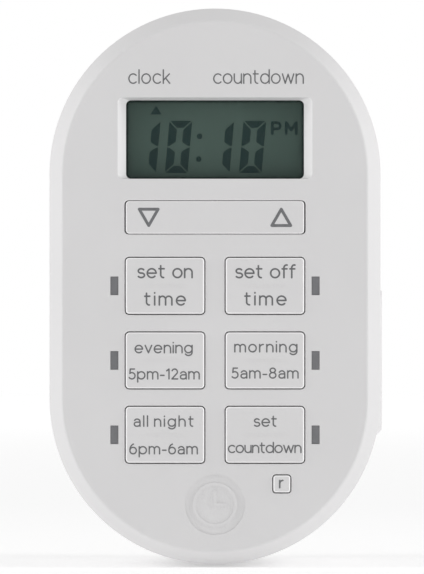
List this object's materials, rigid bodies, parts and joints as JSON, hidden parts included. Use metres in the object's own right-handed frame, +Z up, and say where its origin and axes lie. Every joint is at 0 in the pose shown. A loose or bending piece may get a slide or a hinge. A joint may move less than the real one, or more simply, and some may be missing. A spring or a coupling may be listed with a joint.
{
  "type": "programmable timer",
  "caption": "Plug-in digital timer: stadium-shaped case with display, rocker, programme keys and indicator bars, three-pin plug behind and a side outlet.",
  "frame": {"origin": "on the flat rear face that meets the wall plate, half-way between the two blades", "axes": "+Y into the wall along the blades, +Z up along the case's length, +X to the right of someone facing the keys, where the outlet is"},
  "size_m": [0.0658, 0.0568, 0.11],
  "materials": {
    "white_case": "fine satin, warm white ABS",
    "key_plastic": "fine satin, warm white ABS",
    "white_outlet": "semi-gloss white polycarbonate",
    "carrier_plastic": "natural nylon",
    "contact_brass": "bright rolled",
    "plug_brass": "nickel-plated, polished",
    "screw_steel": "zinc plated",
    "label_silver": "blank silver film",
    "clear_lens": "clear polished acrylic",
    "lcd_glass": "grey-green liquid-crystal cell behind a satin polariser",
    "reflector_film": "matt reflective film",
    "zebra_rubber": "layered silicone",
    "silicone": "translucent silicone",
    "carbon_rubber": "matt",
    "led_body": "clear epoxy on a white body",
    "board_laminate": "green solder mask",
    "chip_epoxy": "moulded epoxy",
    "can_steel": "drawn can",
    "relay_plastic": "moulded blue case",
    "film_cap_plastic": "yellow moulded case",
    "can_sleeve": "shrunk vinyl sleeve",
    "resistor_coat": "cement coat",
    "varistor_coat": "epoxy coat",
    "header_plastic": "nylon",
    "ribbon_vinyl": "grey vinyl",
    "black_wire": "vinyl",
    "white_wire": "vinyl",
    "green_wire": "vinyl",
    "indicator_plastic": "smoked light pipe"
  },
  "bodies": {
    "case": {"backup_cell": "can_steel", "blade_retainer": "carrier_plastic", "board_headers": "header_plastic", "board_neutral_wire": "white_wire", "board_screws": "screw_steel", "carbon_pills": "carbon_rubber", "case_screws": "screw_steel", "contact_carrier": "carrier_plastic", "control_board": "board_laminate", "crystal": "can_steel", "display_window": "clear_lens", "film_capacitor": "film_cap_plastic", "front_cover": "white_case", "fusible_resistor": "resistor_coat", "ground_contact": "contact_brass", "ground_pin": "plug_brass", "ground_wire": "green_wire", "indicator_all_night": "indicator_plastic", "indicator_countdown": "indicator_plastic", "indicator_evening": "indicator_plastic", "indicator_leds": "led_body", "indicator_morning": "indicator_plastic", "indicator_off_time": "indicator_plastic", "indicator_on_time": "indicator_plastic", "keypad_mat": "silicone", "lcd_holder": "carrier_plastic", "lcd_panel": "lcd_glass", "lcd_reflector": "reflector_film", "line_blade": "plug_brass", "line_contact": "contact_brass", "line_wire": "black_wire", "microcontroller": "chip_epoxy", "neutral_blade": "plug_brass", "neutral_contact": "contact_brass", "neutral_wire": "white_wire", "outlet_insert": "white_outlet", "power_board": "board_laminate", "power_board_screws": "screw_steel", "rating_label": "label_silver", "rear_housing": "white_case", "rectifier_diodes": "chip_epoxy", "relay": "relay_plastic", "relay_driver": "chip_epoxy", "retainer_screws": "screw_steel", "ribbon_cable": "ribbon_vinyl", "smoothing_capacitors": "can_sleeve", "switched_line_wire": "black_wire", "varistor": "varistor_coat", "zebra_strip": "zebra_rubber"},
    "key_on_time": {"key_on_time": "key_plastic"},
    "key_off_time": {"key_off_time": "key_plastic"},
    "key_evening": {"key_evening": "key_plastic"},
    "key_morning": {"key_morning": "key_plastic"},
    "key_all_night": {"key_all_night": "key_plastic"},
    "key_countdown": {"key_countdown": "key_plastic"},
    "key_reset": {"key_reset": "key_plastic"},
    "key_up_down": {"key_up_down": "key_plastic"}
  },
  "joints": [
    {"name": "press_on_time", "type": "slide", "parent": "case", "child": "key_on_time", "axis": [0, 1, 0], "range_m": [0, 0.0008], "stiffness_N_per_m": 1500, "deforming": ["keypad_mat"]},
    {"name": "press_off_time", "type": "slide", "parent": "case", "child": "key_off_time", "axis": [0, 1, 0], "range_m": [0, 0.0008], "stiffness_N_per_m": 1500, "deforming": ["keypad_mat"]},
    {"name": "press_evening", "type": "slide", "parent": "case", "child": "key_evening", "axis": [0, 1, 0], "range_m": [0, 0.0008], "stiffness_N_per_m": 1500, "deforming": ["keypad_mat"]},
    {"name": "press_morning", "type": "slide", "parent": "case", "child": "key_morning", "axis": [0, 1, 0], "range_m": [0, 0.0008], "stiffness_N_per_m": 1500, "deforming": ["keypad_mat"]},
    {"name": "press_all_night", "type": "slide", "parent": "case", "child": "key_all_night", "axis": [0, 1, 0], "range_m": [0, 0.0008], "stiffness_N_per_m": 1500, "deforming": ["keypad_mat"]},
    {"name": "press_countdown", "type": "slide", "parent": "case", "child": "key_countdown", "axis": [0, 1, 0], "range_m": [0, 0.0008], "stiffness_N_per_m": 1500, "deforming": ["keypad_mat"]},
    {"name": "press_reset", "type": "slide", "parent": "case", "child": "key_reset", "axis": [0, 1, 0], "range_m": [0, 0.0006], "stiffness_N_per_m": 1500, "deforming": ["keypad_mat"]},
    {"name": "rock_up_down", "type": "hinge", "parent": "case", "child": "key_up_down", "pos_m": [0, -0.0326, -0.0044], "axis": [0, 0, 1], "range_deg": [-2, 2], "stiffness_Nm_per_rad": 0.6, "deforming": ["keypad_mat"]}
  ]
}
